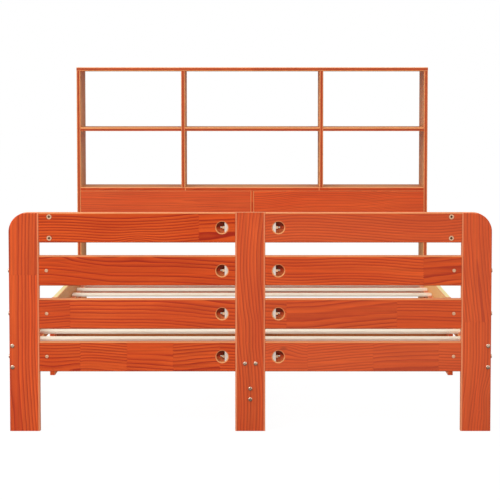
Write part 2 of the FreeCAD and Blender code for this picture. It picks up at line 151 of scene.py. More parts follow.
class BedMetal(bpy.types.PropertyGroup):
    """Colours and sizes of the fittings."""

    nickel: Colour("Nickel", "Bolts", (0.88, 0.66, 0.50))
    zinc: Colour("Zinc", "Rods and screws", (0.93, 0.87, 0.78))
    washer: Colour("Washer zinc", "Half-moon washers and pins", (1.0, 0.86, 0.76))
    yellowed: Colour("Yellowed zinc", "Barrel nuts, hexagon nuts and cams", (1.00, 0.60, 0.37))
    head_radius: Length("Bolt head radius", "Radius of a bolt head", 0.0065)
    head_height: Length("Bolt head height", "Height of a bolt head", 0.0033)
    socket_width: Length("Socket width", "Hexagon socket of a bolt, across its flats", 0.004)
    thread_pitch: Length("Thread pitch", "Distance between the ridges of a rod's thread", 0.00125)
    slat_screw_radius: Length("Slat screw head radius", "Radius of a slat or ledger screw head", 0.0036)
    case_screw_radius: Length("Bookcase screw head radius", "Radius of a bookcase screw head", 0.0042)


class BedStudio(bpy.types.PropertyGroup):
    """The camera and the light."""

    camera_place: bpy.props.FloatVectorProperty(
        name="Camera place", description="Place of the camera", default=(0.02165, -6.44555, 1.03731), size=3,
        subtype="TRANSLATION")
    camera_tilt: Number("Camera tilt", "Downward tilt of the camera", math.radians(3.6936), "ANGLE")
    lens: Number("Lens", "Focal length in millimetres on a 36 mm sensor", 128.962)
    world_light: Number("World light", "Strength of the even light from above", 0.56)
    key_power: Number("Key power", "Power of the key light", 106.0, "POWER")
    fill_power: Number("Fill power", "Power of the fill light", 20.0, "POWER")
    top_power: Number("Top power", "Power of the light overhead", 66.0, "POWER")


class Nodes:
    """Adds shader nodes to one tree and joins them."""

    def __init__(self, tree):
        self.tree = tree

    def add(self, kind, fed=None, **settings):
        """A node with its settings, and its sockets fed by numbers or by other nodes."""
        made = self.tree.nodes.new(kind)
        for name, value in settings.items():
            setattr(made, name, value)
        for socket, value in (fed or {}).items():
            self.feed(made.inputs[socket], value)
        return made

    def feed(self, socket, value):
        """Joins another socket to this one, or sets its value, with full alpha on a colour."""
        if isinstance(value, bpy.types.NodeSocket):
            self.tree.links.new(value, socket)
        elif socket.type == "RGBA":
            socket.default_value = (*value, 1.0)
        else:
            socket.default_value = value

    def math(self, operation, a, b=0.0, c=0.0):
        """One step of arithmetic."""
        return self.add("ShaderNodeMath", {0: a, 1: b, 2: c}, operation=operation).outputs[0]

    def plus(self, a, b):
        return self.math("ADD", a, b)

    def minus(self, a, b):
        return self.math("SUBTRACT", a, b)

    def times(self, a, b):
        return self.math("MULTIPLY", a, b)

    def line(self, value, slope, start):
        """Slope times the value, plus the start."""
        return self.math("MULTIPLY_ADD", value, slope, start)

    def larger(self, a, b):
        return self.math("MAXIMUM", a, b)

    def size(self, a):
        """The number without its sign."""
        return self.math("ABSOLUTE", a)

    def vector(self, x=0.0, y=0.0, z=0.0):
        """Three numbers as a vector."""
        return self.add("ShaderNodeCombineXYZ", {0: x, 1: y, 2: z}).outputs[0]

    def parts(self, vector):
        """The three numbers of a vector."""
        return self.add("ShaderNodeSeparateXYZ", {0: vector}).outputs

    def spot(self):
        """The point's place in the frame of the model, as three numbers."""
        return self.parts(self.add("ShaderNodeTexCoord").outputs["Object"])

    def normal(self):
        """The way that the face looks, as three numbers."""
        return self.parts(self.add("ShaderNodeNewGeometry").outputs["True Normal"])

    def distance(self, a, b):
        """Length of the flat vector of two numbers."""
        made = self.add("ShaderNodeVectorMath", {0: self.vector(a, b)}, operation="LENGTH")
        return made.outputs["Value"]

    def noise(self, vector, detail=2.0, roughness=0.5):
        """Smooth noise about zero, at one cell per unit of the vector."""
        made = self.add("ShaderNodeTexNoise", {"Vector": vector, "Scale": 1.0, "Detail": detail,
                                               "Roughness": roughness})
        return self.minus(made.outputs[0], 0.5)

    def chance(self, number):
        """Three numbers between 0 and 1 that depend on one number alone."""
        made = self.add("ShaderNodeTexWhiteNoise", {"W": number}, noise_dimensions="1D")
        return self.parts(made.outputs["Color"])

    def rise(self, value, low, high, to_low=0.0, to_high=1.0):
        """Smooth step from low to high."""
        fed = {"Value": value, "From Min": low, "From Max": high, "To Min": to_low, "To Max": to_high}
        return self.add("ShaderNodeMapRange", fed, interpolation_type="SMOOTHSTEP").outputs[0]

    def fall(self, value, low, high, start=1.0):
        """Smooth step down to nothing."""
        return self.rise(value, low, high, start, 0.0)

    def straight(self, part, share=1.0):
        """The share on faces that look straight along an axis, from that part of their normal."""
        return self.rise(part, 0.90, 0.97, 0.0, share)

    def blend(self, share, first, second, mode="MIX"):
        """One colour laid over another."""
        made = self.add("ShaderNodeMix", {0: share, 6: first, 7: second}, data_type="RGBA", blend_type=mode)
        return made.outputs[2]

    def shaded(self, colour, level):
        """A colour made lighter or darker."""
        return self.blend(1.0, colour, self.vector(level, level, level), "MULTIPLY")

    def surface(self, height, strength, depth, sockets):
        """The finished surface: its shader, made uneven by a height."""
        bump = self.add("ShaderNodeBump", {"Strength": strength, "Distance": depth, "Height": height})
        shader = self.add("ShaderNodeBsdfPrincipled", {"Normal": bump.outputs[0], **sockets})
        self.add("ShaderNodeOutputMaterial", {"Surface": shader.outputs[0]})


def pine_figure():
    """Node group: the figure of finger-jointed pine, sawn from logs of round rings.

    Point is along the grain, across the board and into its thickness, from the middle.
    """
    tree = bpy.data.node_groups.new("pine_figure", "ShaderNodeTree")
    tree.interface.new_socket("Point", in_out="INPUT", socket_type="NodeSocketVector")
    for side, names in (("INPUT", ("Seed", "Block", "Start", "Stave", "Ring")),
                        ("OUTPUT", ("Late", "Fibre", "Streak", "Mottle", "Tone", "Knot", "Seam"))):
        for name in names:
            tree.interface.new_socket(name, in_out=side, socket_type="NodeSocketFloat")
    n = Nodes(tree)
    given = n.add("NodeGroupInput").outputs
    along, across, into = n.parts(given["Point"])

    # Which stave and which block of it, with fingers where two blocks meet
    finger_width, finger_slope, stave_lag = 0.0027, 1.6, 0.37
    stave = n.math("ROUND", n.math("DIVIDE", across, given["Stave"]))
    beside = n.minus(across, n.times(stave, given["Stave"]))
    fingers = n.times(n.math("PINGPONG", n.plus(beside, 1.0), finger_width), finger_slope)
    run = n.minus(n.plus(along, fingers), given["Start"])
    place = n.line(stave, stave_lag, n.math("DIVIDE", run, given["Block"]))
    block = n.math("FLOOR", place)
    block_number = n.line(stave, 5.31, n.line(block, 1.73, n.times(given["Seed"], 11.93)))
    shift, depth_of_pith, tone = n.chance(block_number)

    def scaled(along_scale, beside_scale, third):
        """The place on the face with both its numbers scaled, and a third number."""
        return n.vector(n.times(along, along_scale), n.times(beside, beside_scale), third)

    # Thin lines where blocks and staves meet
    from_joint = n.times(n.math("PINGPONG", place, 0.5), given["Block"])
    from_stave = n.minus(n.times(given["Stave"], 0.5), n.size(beside))
    seam = n.larger(n.fall(from_joint, 0.0001, 0.0007), n.fall(from_stave, 0.0001, 0.0006))

    # Distance from the pith, which wanders slowly along the log
    pith_spread, pith_drift = 0.26, 0.13
    pith_least, pith_reach, pith_sink = 0.016, 0.055, 0.028
    drift = n.noise(n.vector(n.times(along, 1.5), block_number, 0.0), 1.0)
    sink = n.noise(n.vector(n.times(along, 1.3), block_number, 7.7), 1.0)
    pith_across = n.line(drift, pith_drift, n.times(n.minus(shift, 0.5), pith_spread))
    pith_into = n.line(sink, pith_sink, n.line(depth_of_pith, pith_reach, pith_least))
    aside = n.minus(beside, pith_across)
    below = n.plus(into, pith_into)
    from_pith = n.math("SQRT", n.line(aside, aside, n.times(below, below)))

    # Knots push the rings aside
    share_without_knot, knot_narrowness = 0.80, 22.0
    knot_point = scaled(4.6, 8.5, n.line(into, 8.5, n.times(block_number, 3.1)))
    cells = n.add("ShaderNodeTexVoronoi", {"Vector": knot_point, "Scale": 1.0}, voronoi_dimensions="3D")
    from_knot = cells.outputs["Distance"]
    kept = n.math("GREATER_THAN", n.parts(cells.outputs["Color"])[0], share_without_knot)
    push = n.times(kept, n.math("EXPONENT", n.times(n.times(from_knot, from_knot), -knot_narrowness)))
    core = n.times(kept, n.fall(from_knot, 0.05, 0.095))

    # Rings: slow darkening through the year, then a sharp step back
    ring_waver, rings_round_knot = 0.55, 2.3
    waver = n.noise(scaled(8.0, 28.0, block_number))
    rings = n.line(waver, ring_waver, n.math("DIVIDE", from_pith, given["Ring"]))
    rings = n.line(push, rings_round_knot, rings)
    year = n.add("ShaderNodeValToRGB", {0: n.math("FRACT", rings)})
    steps = year.color_ramp.elements
    steps[0].position, steps[0].color = 0.0, (0.0, 0.0, 0.0, 1.0)
    steps[1].position, steps[1].color = 1.0, (0.02, 0.02, 0.02, 1.0)
    for position, value in ((0.30, 0.05), (0.66, 0.42), (0.86, 1.0), (0.93, 0.92)):
        steps.new(position).color = (value, value, value, 1.0)
    strength = n.chance(n.line(n.math("FLOOR", rings), 0.61, block_number))[0]
    broken = n.noise(scaled(3.2, 60.0, block_number))
    weight = n.plus(n.line(strength, 0.85, 0.10), broken)
    late = n.times(year.outputs[0], n.rise(weight, -0.05, 0.46))

    fibre = n.noise(scaled(9.0, 520.0, n.times(into, 520.0)), 2.0, 0.6)
    streak = n.noise(scaled(2.6, 150.0, n.line(into, 150.0, block_number)), 2.0, 0.6)
    mottle = n.noise(scaled(3.0, 13.0, block_number))
    results = n.add("NodeGroupOutput", {"Late": late, "Fibre": fibre, "Streak": streak, "Mottle": mottle,
                                        "Tone": tone, "Knot": core, "Seam": seam})
    results.is_active_output = True
    return tree


def new_material(name):
    """A material with an empty tree of nodes, and its builder."""
    made = bpy.data.materials.new(name)
    made.use_nodes = True
    made.node_tree.nodes.clear()
    return made, Nodes(made.node_tree)


def own_point(n, centre, axes):
    """A point of the board, counted along its own axes from its middle."""
    spot = n.spot()
    return [n.minus(spot[axis], centre[axis]) for axis in axes]


def figure(n, tree, own, seed, block, start, stave, ring):
    """The pine figure at a point of the board."""
    made = n.add("ShaderNodeGroup")
    made.node_tree = tree
    for name, value in (("Point", n.vector(*own)), ("Seed", seed), ("Block", block), ("Start", start),
                        ("Stave", stave), ("Ring", ring)):
        n.feed(made.inputs[name], value)
    return made.outputs


class StainedBoard:
    """Lacquered stained pine for one board, paler on its eased edges and darker on its ends, with painted
    light and shade on some faces.
    """

    def __init__(self, name, tree, seed, timber):
        low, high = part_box(name)
        self.name, self.low, self.high, self.timber = name, low, high, timber
        self.centre = centre = (low + high) / 2
        self.axes = sorted((X, Y, Z), key=lambda axis: -round(high[axis] - low[axis], 4))
        grain_axis, width_axis, depth_axis = self.axes
        self.half_length, self.half_width, self.half_depth = [(high[axis] - low[axis]) / 2
                                                              for axis in self.axes]
        self.panel = name in PANEL_NODES
        self.on_footboard = name.startswith("footboard_board_")
        self.upright = grain_axis == Z and not self.panel
        self.to_middle = -1.0 if centre.x > 0 else 1.0

        first_joint = centre[grain_axis] - 0.11 - 0.037 * (seed % 5)
        plain_look = (first_joint, timber.block_length, PLAIN_PALENESS)
        start, block, self.paleness = BOARD_LOOKS.get(name, plain_look)
        self.grain = SEEN_GRAIN if name in BOARD_LOOKS else PLAIN_GRAIN
        stave = timber.stave_width if self.panel else ONE_STAVE
        ring = timber.ring_spacing * (0.72 if "apron" in name else 1.05 if self.upright else 1.0)
        self.material, self.n = new_material(name + "_pine")
        n = self.n
        self.own = own_point(n, centre, self.axes)
        self.out = figure(n, tree, self.own, float(seed), block, start - centre[grain_axis], stave, ring)
        self.normal = n.normal()
        self.on_end = n.size(self.normal[grain_axis])
        self.on_wide = n.size(self.normal[depth_axis])
        if self.panel:
            self.on_narrow = n.straight(n.size(self.normal[width_axis]))
        if self.on_footboard:
            self.pocket = self.rod_pocket()

    def inward(self):
        """How far the face looks to the middle of the bed."""
        return self.n.times(self.normal[X], self.to_middle)

    def fittings(self, *nodes):
        """Box and middle of each solid of these groups that lies within the board, seen from the room."""
        for node in nodes:
            for corner, other, middle in map(solid_box, solids(node)):
                if self.low.x < middle.x < self.high.x and self.low.z < middle.z < self.high.z:
                    yield corner, other, middle

    def fitting_rims(self):
        """Worn rings round the cams and barrel nuts in the front of a footboard board."""
        n = self.n
        spot = n.spot()
        for corner, other, middle in self.fittings("board_barrel_nuts", "cams"):
            away = n.distance(n.minus(spot[X], middle.x), n.minus(spot[Z], middle.z))
            radius = (other.x - corner.x) / 2
            yield n.times(n.fall(away, radius + 0.0001, radius + 0.0011), n.straight(self.on_wide))

    def rod_pocket(self):
        """Radius of the tie-rod pocket, the distance from its axis and the height above it."""
        n = self.n
        spot = n.spot()
        corner, other, middle = next(self.fittings("footboard_half_moons"))
        bow, half = other.x - corner.x, (other.z - corner.z) / 2
        radius = (bow * bow + half * half) / (2 * bow)
        across = corner.x + radius if middle.x > 0 else other.x - radius
        above = n.minus(spot[Z], middle.z)
        return radius, n.distance(n.minus(spot[X], across), above), above

    def wear_and_highlight(self):
        """Where the stain is thin, with painted highlight: eased edges, rims of wide faces, lips of panels,
        rings round fittings.
        """
        n, own, name = self.n, self.own, self.name
        eased = n.times(n.rise(self.on_wide, 0.30, 0.40), n.fall(self.on_wide, 0.90, 0.97))
        rim_start = self.half_width - (0.0058 if self.upright else 0.0046)
        rim = n.rise(n.size(own[1]), rim_start, rim_start + 0.002)
        rim = n.times(rim, n.times(n.straight(self.on_wide), 1.0 if self.upright else 0.85))
        wear_and_highlight = n.larger(eased, rim)
        if self.panel:
            lip_start = self.half_depth - (0.0062 if "middle_shelf" in name else 0.0038)
            # Painted highlight: a shelf keeps its pale lip on the upper front edge alone
            from_middle = own[2] if "shelf" in name else n.size(own[2])
            lip = n.rise(from_middle, lip_start, lip_start + 0.0012)
            wear_and_highlight = n.larger(wear_and_highlight, n.times(self.on_narrow, lip))
        if self.on_footboard:
            for ring in self.fitting_rims():
                wear_and_highlight = n.larger(wear_and_highlight, ring)
        wear_and_highlight = n.times(wear_and_highlight, n.line(self.out["Mottle"], 0.7, 0.86))
        # Painted highlight and shade: where the width runs upwards, upper edges keep the pale colour (little
        # on the aprons) and lower edges almost lose it
        if self.axes[1] == Z:
            upper = 0.15 if "apron" in name else 1.0
            wear_and_highlight = n.times(wear_and_highlight, n.rise(own[1], -0.001, 0.001, 0.10, upper))
        # Thin stain on the rim of the tie-rod pocket, with painted highlight that makes it brighter below
        if self.on_footboard:
            radius, away, above = self.pocket
            ring = n.times(n.fall(away, radius + 0.0022, radius + 0.0036),
                           n.rise(away, radius, radius + 0.0003))
            wear_and_highlight = n.larger(wear_and_highlight, n.times(ring, n.rise(above, -0.010, 0.014, 1.0, 0.30)))
        # Painted highlight: a corner post keeps its pale edges only on the side towards the middle of the
        # bed
        if name.startswith("footboard_post_"):
            wear_and_highlight = n.times(wear_and_highlight, n.math("GREATER_THAN", n.times(own[1], self.to_middle), 0.0))
        return wear_and_highlight

    def pine(self):
        """The stained wood, with its rings, knots and seams."""
        n, out, timber = self.n, self.out, self.timber
        body = n.blend(n.rise(out["Mottle"], -0.20, 0.20), timber.stain_mid, timber.stain_light)
        body = n.blend(n.times(out["Late"], self.grain), body, timber.stain_dark)
        body = n.blend(out["Knot"], body, timber.stain_knot)
        body = n.blend(n.times(out["Seam"], 0.30), body, timber.stain_dark)
        shade = n.line(out["Fibre"], 0.45, n.line(out["Tone"], 0.08, 0.96))
        shade = n.line(out["Streak"], 0.95 if self.upright else 0.62, shade)
        return n.shaded(body, shade)

    def veils(self):
        """Share and colour of each veil over the wood, stains and painted light and shade alike, in the
        order in which they are laid.
        """
        n, own, name, timber, normal = self.n, self.own, self.name, self.timber, self.normal
        yield self.paleness, timber.stain_pale
        end_stain = timber.edge_stain_and_highlight if self.upright else timber.stain_dark
        yield n.times(n.rise(self.on_end, 0.85, 0.95), 0.5), end_stain
        if self.on_footboard:
            # Painted shade: the lower edge of a footboard board is darkened as if in shadow
            yield n.fall(own[1], 0.0006 - self.half_width, 0.0036 - self.half_width, 0.45), timber.stain_dark
            radius, away, above = self.pocket
            inside = n.times(n.fall(away, radius + 0.0001, radius + 0.0005), n.fall(own[2], 0.0080, 0.0095))
            # Painted light on the lower part of the pocket
            yield n.times(inside, n.fall(above, -0.012, 0.0, 0.55)), timber.edge_stain_and_highlight
            # Painted shade on the upper part of the pocket
            yield n.times(inside, n.rise(above, -0.004, 0.008, 0.0, 0.80)), timber.pocket_shade
        if self.panel and name != "bookcase_centre_panel" and "low_shelf" not in name:
            yield n.times(self.on_narrow, 0.55 if "shelf" in name else 0.40), timber.stain_rim
        if "shelf" in name:
            # Painted sheen: the shelves' upper faces are tinted paler and more orange
            yield n.rise(normal[Z], 0.60, 0.97, 0.0, 0.22), timber.shelf_top_sheen
        if name == "cross_beam":
            # Painted shade: the cross beam is darkened as if in shadow
            yield 0.75, timber.shadow_brown
        if name.startswith(("bookcase_side_", "bookcase_divider_")):
            inward = self.inward()
            # Painted shade on the inner faces of the bookcase uprights
            yield n.straight(n.size(inward) if "divider" in name else inward, 0.50), timber.shadow_brown
        if name.startswith("side_rail_"):
            # Painted shade on the left rail's inner face, painted light on the right one's
            inner = timber.right_rail_light if self.centre.x > 0 else timber.left_rail_shade
            yield n.straight(self.inward(), 0.85), inner
            # Painted highlight on the rails' upper faces
            yield n.rise(normal[Z], 0.60, 0.97, 0.0, 0.95), timber.rail_top_highlight
        # Thin stain on the eased edges, with painted highlight
        yield self.wear_and_highlight(), timber.upright_stain_and_highlight if self.upright else timber.edge_stain_and_highlight
        if name == "bookcase_low_shelf_centre":
            tick = n.rise(n.size(own[0]), self.half_length - 0.0034, self.half_length - 0.0020)
            yield n.times(tick, self.on_narrow), timber.edge_stain_and_highlight

    def stain(self):
        """The finished material."""
        n, out = self.n, self.out
        body = self.pine()
        for share, stain in self.veils():
            body = n.blend(share, body, stain)
        rough = n.line(out["Fibre"], 0.20, n.line(out["Late"], -0.06, 0.44))
        n.surface(n.line(out["Late"], 0.6, out["Fibre"]), 0.22, 0.0005, {
            "Base Color": body, "Roughness": rough, "Coat Weight": 0.04, "Coat Roughness": 0.28,
            "Specular IOR Level": 0.20, "Sheen Weight": 0.9 if self.panel else 0.5,
            "Sheen Roughness": 0.30, "Sheen Tint": (1.0, 0.66, 0.26)})
        return self.material


def bare_pine(tree, timber):
    """Planed pine without stain, for the row of slats, with painted shade on their upper faces."""
    low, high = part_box("slats")
    rows = sorted({round(solid_box(points)[2].y, 3) for points in solids("slats")})
    pitch = (rows[-1] - rows[0]) / (len(rows) - 1)
    centre = (low + high) / 2
    centre.y = rows[0]
    made, n = new_material("slats_pine")
    own = own_point(n, centre, (X, Y, Z))
    out = figure(n, tree, own, 3.0, 0.61, -0.33, pitch, timber.ring_spacing * 0.75)
    body = n.blend(n.times(out["Late"], 0.34), timber.bare_light, timber.bare_dark)
    body = n.blend(n.times(out["Knot"], 0.8), body, SLAT_KNOT)
    body = n.shaded(body, n.line(out["Fibre"], 0.22, n.line(out["Tone"], 0.06, 0.98)))
    # Painted shade: faces that look up are darkened
    body = n.blend(n.rise(n.normal()[Z], 0.70, 0.97, 0.0, 0.60), body, SLAT_UPPER_SHADE)
    n.surface(n.line(out["Late"], 0.5, out["Fibre"]), 0.25, 0.0005, {
        "Base Color": body, "Roughness": n.line(out["Fibre"], 0.2, 0.62), "Specular IOR Level": 0.3})
    return made


def plated_steel(name, colour, roughness, metallic=1.0, dark_from=None, dark_sides=False):
    """Plated steel with a fine grit and a slightly uneven sheen.

    Painted shade darkens its recesses from one place along the bed inwards, where that place is given, and
    its sides that turn away from the front, where asked.
    """
    found = bpy.data.materials.get(name)
    if found:
        return found
    made, n = new_material(name)
    spot = n.spot()
    grit, cloud = [n.noise(n.vector(*[n.times(axis, scale) for axis in spot])) for scale in (1500.0, 260.0)]
    tint = n.shaded(colour, n.line(cloud, 0.25, 1.0))
    if dark_from is not None:
        # Painted shade behind that place
        tint = n.blend(n.rise(spot[Y], dark_from, dark_from + 0.0006), tint, PAINTED_SHADE)
    if dark_sides:
        # Painted shade on faces that turn away from the front
        tint = n.blend(n.rise(n.normal()[Y], -0.95, -0.80, 0.0, 0.85), tint, PAINTED_SHADE)
    rough = n.line(grit, 0.16, n.line(cloud, 0.12, roughness))
    n.surface(grit, 0.08, 0.0001, {"Base Color": tint, "Metallic": metallic, "Roughness": rough})
    return made


def dress(piece, material):
    """Gives an object one material and no other."""
    piece.data.materials.clear()
    piece.data.materials.append(material)


def solids(node):
    """Corner points of each separate solid of a group, in the order of their places."""
    body = bmesh.new()
    body.from_mesh(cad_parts[node].data)
    bmesh.ops.remove_doubles(body, verts=body.verts, dist=0.000001)
    left = set(body.verts)
    found = []
    while left:
        seed = left.pop()
        edge = [seed]
        points = [seed.co.copy()]
        while edge:
            for link in edge.pop().link_edges:
                for corner in link.verts:
                    if corner in left:
                        left.remove(corner)
                        edge.append(corner)
                        points.append(corner.co.copy())
        found.append(points)
    body.free()
    return sorted(found, key=lambda points: [round(value, 4) for value in solid_box(points)[2]])


def solid_box(points):
    """Lowest corner, highest corner and middle of a solid."""
    low = Vector([min(point[axis] for point in points) for axis in (X, Y, Z)])
    high = Vector([max(point[axis] for point in points) for axis in (X, Y, Z)])
    return low, high, (low + high) / 2


def axis_of(points, choose=max):
    """The axis along which a solid is longest, or shortest with min."""
    low, high, _ = solid_box(points)
    return choose((X, Y, Z), key=lambda axis: high[axis] - low[axis])


def centred_places(node, choose, side_of):
    """Middle, way out and way across of each solid of a group, and half its length that way."""
    places = []
    for points in solids(node):
        low, high, middle = solid_box(points)
        axis = axis_of(points, choose)
        places.append((middle, UNIT[axis], side_of(axis)))
        half = (high[axis] - low[axis]) / 2
    return places, half


def turn_to(outward, sideways):
    """Turn that takes +Z to outward and +X to sideways."""
    third = outward.cross(sideways)
    return Matrix((sideways, third, outward)).transposed().to_4x4()


def any_side(axis):
    """A direction across an axis."""
    return UNIT[X] if axis == Z else UNIT[Z]


def pick(*chosen):
    """Selects these objects alone."""
    bpy.ops.object.select_all(action="DESELECT")
    for piece in chosen:
        piece.select_set(True)
    bpy.context.view_layer.objects.active = chosen[0]


def settle():
    """Takes the place, turn and scale of what is selected into its mesh."""
    bpy.ops.object.transform_apply(location=True, rotation=True, scale=True)


def turned(name, section, steps=24):
    """A piece turned about +Z from a section of (radius, height) points, axis to axis."""
    bpy.ops.mesh.primitive_plane_add(size=0.01)
    piece = bpy.context.object
    piece.name = name
    bpy.ops.object.mode_set(mode="EDIT")
    bpy.ops.mesh.select_mode(type="VERT")
    bpy.ops.mesh.merge(type="CENTER")
    bpy.ops.transform.translate(value=(section[0][0], 0, section[0][1]))
    for (radius, height), (next_radius, next_height) in zip(section, section[1:]):
        step = (next_radius - radius, 0, next_height - height)
        bpy.ops.mesh.extrude_region_move(TRANSFORM_OT_translate={"value": step})
    bpy.ops.mesh.select_all(action="SELECT")
    bpy.ops.mesh.spin(steps=steps, angle=math.tau, center=(0, 0, 0), axis=(0, 0, 1))
    bpy.ops.mesh.select_all(action="SELECT")
    bpy.ops.mesh.remove_doubles(threshold=0.000002)
    bpy.ops.mesh.normals_make_consistent(inside=False)
    bpy.ops.object.mode_set(mode="OBJECT")
    return piece


def bar(name, sides, radius, start, end):
    """A straight bar along Z with flat sides, its radius measured to the flats."""
    bpy.ops.mesh.primitive_cylinder_add(vertices=sides, radius=radius / math.cos(math.pi / sides),
                                        depth=end - start, location=(0, 0, (start + end) / 2))
    piece = bpy.context.object
    piece.name = name
    settle()
    return piece


def laid_over(piece, height):
    """Turns a bar to run along X, at a height."""
    pick(piece)
    piece.rotation_euler = (0, math.pi / 2, 0)
    piece.location = (0, 0, height)
    settle()
    return piece


def blade(width, length, top, floor):
    """A tapered cutter for a slot, or for one arm of a cross recess."""
    bpy.ops.mesh.primitive_cube_add(size=1, location=(0, 0, (top + floor) / 2))
    piece = bpy.context.object
    piece.scale = (length, width, top - floor)
    settle()
    bpy.ops.object.mode_set(mode="EDIT")
    bpy.ops.mesh.select_mode(type="FACE")
    bpy.ops.mesh.select_all(action="DESELECT")
    body = bmesh.from_edit_mesh(piece.data)
    for face in body.faces:
        face.select_set(face.normal.z < -0.9)
    bmesh.update_edit_mesh(piece.data)
    bpy.ops.transform.resize(value=(0.72, 0.85, 1))
    bpy.ops.object.mode_set(mode="OBJECT")
    return piece


def shaped(piece, cutter, operation="DIFFERENCE"):
    """Cuts one piece with another, or keeps only what they share, and discards the cutter."""
    pick(piece)
    step = piece.modifiers.new("shape", "BOOLEAN")
    step.operation = operation
    step.solver = "EXACT"
    step.object = cutter
    bpy.ops.object.modifier_apply(modifier=step.name)
    bpy.data.objects.remove(cutter)
    return piece


def cross_cut(piece, width, length, top, floor):
    """Cuts a cross recess for a driver."""
    shaped(piece, blade(width, length, top, floor))
    across = blade(width, length, top, floor)
    pick(across)
    across.rotation_euler = (0, 0, math.pi / 2)
    settle()
    return shaped(piece, across)


def ridges(radius, start, end, pitch):
    """Section points of a thread that runs up from start to end."""
    count = max(1, int((end - start) / pitch))
    step = (end - start) / count
    profile = ((0.84, 0.08), (1.0, 0.5), (1.0, 0.62))
    return [(radius * width, start + step * (turn + share))
            for turn in range(count) for width, share in profile]


def set_out(pattern, name, places, node, material, body="root"):
    """Copies a pattern to every place, joins the copies into one piece and rides it on its body."""
    dress(pattern, material)
    pick(pattern)
    bpy.ops.object.shade_smooth_by_angle(angle=math.radians(35))
    copies = []
    for seat, outward, sideways in places:
        pick(pattern)
        bpy.ops.object.duplicate(linked=False)
        copy = bpy.context.object
        copy.matrix_world = Matrix.Translation(seat) @ turn_to(outward, sideways)
        copies.append(copy)
    pick(*copies)
    settle()
    if len(copies) > 1:
        bpy.ops.object.join()
    piece = bpy.context.object
    piece.name = name
    piece.data.name = name
    bpy.data.objects.remove(pattern)
    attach(piece, body)
    if node:
        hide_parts(node)


def reach(points, axis, middle, end):
    """How far a solid reaches from its axis at one of its ends."""
    return max(math.hypot(*[point[other] - middle[other] for other in (X, Y, Z) if other != axis])
               for point in points if abs(point[axis] - end) < 0.0001)


def bolt_places(node, head_height):
    """Seat, way out and way across of each bolt, and the length under the head."""
    places = []
    for points in solids(node):
        low, high, middle = solid_box(points)
        axis = axis_of(points)
        head_is_high = reach(points, axis, middle, high[axis]) > reach(points, axis, middle, low[axis])
        sign = 1 if head_is_high else -1
        seat = middle.copy()
        seat[axis] = (high[axis] - head_height) if sign > 0 else (low[axis] + head_height)
        places.append((seat, UNIT[axis] * sign, any_side(axis)))
        length = high[axis] - low[axis] - head_height
    return places, length


class BED_OT_stain_boards(bpy.types.Operator):
    """Stain and lacquer every board of the frame and the bookcase"""

    bl_idname = "bed.stain_boards"
    bl_label = "Stain the boards"

    def execute(self, context):
        timber = context.scene.bed_timber
        tree = bpy.data.node_groups.get("pine_figure") or pine_figure()
        for number, name in enumerate(STAINED_NODES):
            dress(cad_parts[name], StainedBoard(name, tree, number + 1, timber).stain())
        return {"FINISHED"}


class BED_OT_plane_slats(bpy.types.Operator):
    """Give the slats their bare planed pine"""

    bl_idname = "bed.plane_slats"
    bl_label = "Plane the slats"

    def execute(self, context):
        tree = bpy.data.node_groups.get("pine_figure") or pine_figure()
        dress(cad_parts["slats"], bare_pine(tree, context.scene.bed_timber))
        return {"FINISHED"}


class BED_OT_turn_bolts(bpy.types.Operator):
    """Make the domed bolts with hexagon sockets"""

    bl_idname = "bed.turn_bolts"
    bl_label = "Turn the bolts"

    def section(self, length, metal):
        """Outline of a bolt, from its tip up the threaded shank and over the dome."""
        height, radius = metal.head_height, metal.head_radius
        shank, tip, rim, dome_steps = 0.0029, 0.0006, 0.0007, 7
        points = [(0, -length), (0.0021, -length), (0.0026, tip - length)]
        points += ridges(shank, tip - length, -length * 0.42, metal.thread_pitch * 1.2)
        points += [(shank, -length * 0.40), (shank, 0), (radius * 0.97, 0), (radius, 0.0002), (radius, rim)]
        for step in range(1, dome_steps):
            turn = math.pi / 2 * step / dome_steps
            points.append((radius * 0.55 + radius * 0.45 * math.cos(turn),
                           rim + (height - rim) * math.sin(turn)))
        return points + [(radius * 0.50, height), (0, height)]

    def execute(self, context):
        metal = context.scene.bed_metal
        material = plated_steel("nickel_plate", metal.nickel, 0.17)
        height, socket_depth = metal.head_height, 0.0020
        for node in ("post_bolts", "board_bolts", "rail_bolts"):
            places, length = bolt_places(node, height)
            bolt = turned("bolt_pattern", self.section(length, metal))
            shaped(bolt, bar("socket_cutter", 6, metal.socket_width / 2, height - socket_depth,
                             height + 0.001))
            set_out(bolt, "domed_" + node, places, node, material)
        return {"FINISHED"}


class BED_OT_thread_rods(bpy.types.Operator):
    """Make the threaded tie rods of the footboard and the side rails"""

    bl_idname = "bed.thread_rods"
    bl_label = "Thread the tie rods"

    def execute(self, context):
        metal = context.scene.bed_metal
        material = plated_steel("zinc_plate", metal.zinc, 0.32)
        for node, radius in (("footboard_tie_rods", 0.004), ("rail_tie_rods", 0.003)):
            places, half = centred_places(node, max, any_side)
            threaded = half * 0.42
            section = [(0, -half), (radius * 0.75, -half)]
            section += ridges(radius, -half, threaded - half, metal.thread_pitch)
            section += [(radius * 0.9, threaded - half + 0.001), (radius * 0.9, half - threaded - 0.001)]
            section += ridges(radius, half - threaded, half, metal.thread_pitch)
            section += [(radius * 0.75, half), (0, half)]
            rod = turned("rod_pattern", section, 20)
            set_out(rod, "threaded_" + node, places, node, material)
        return {"FINISHED"}


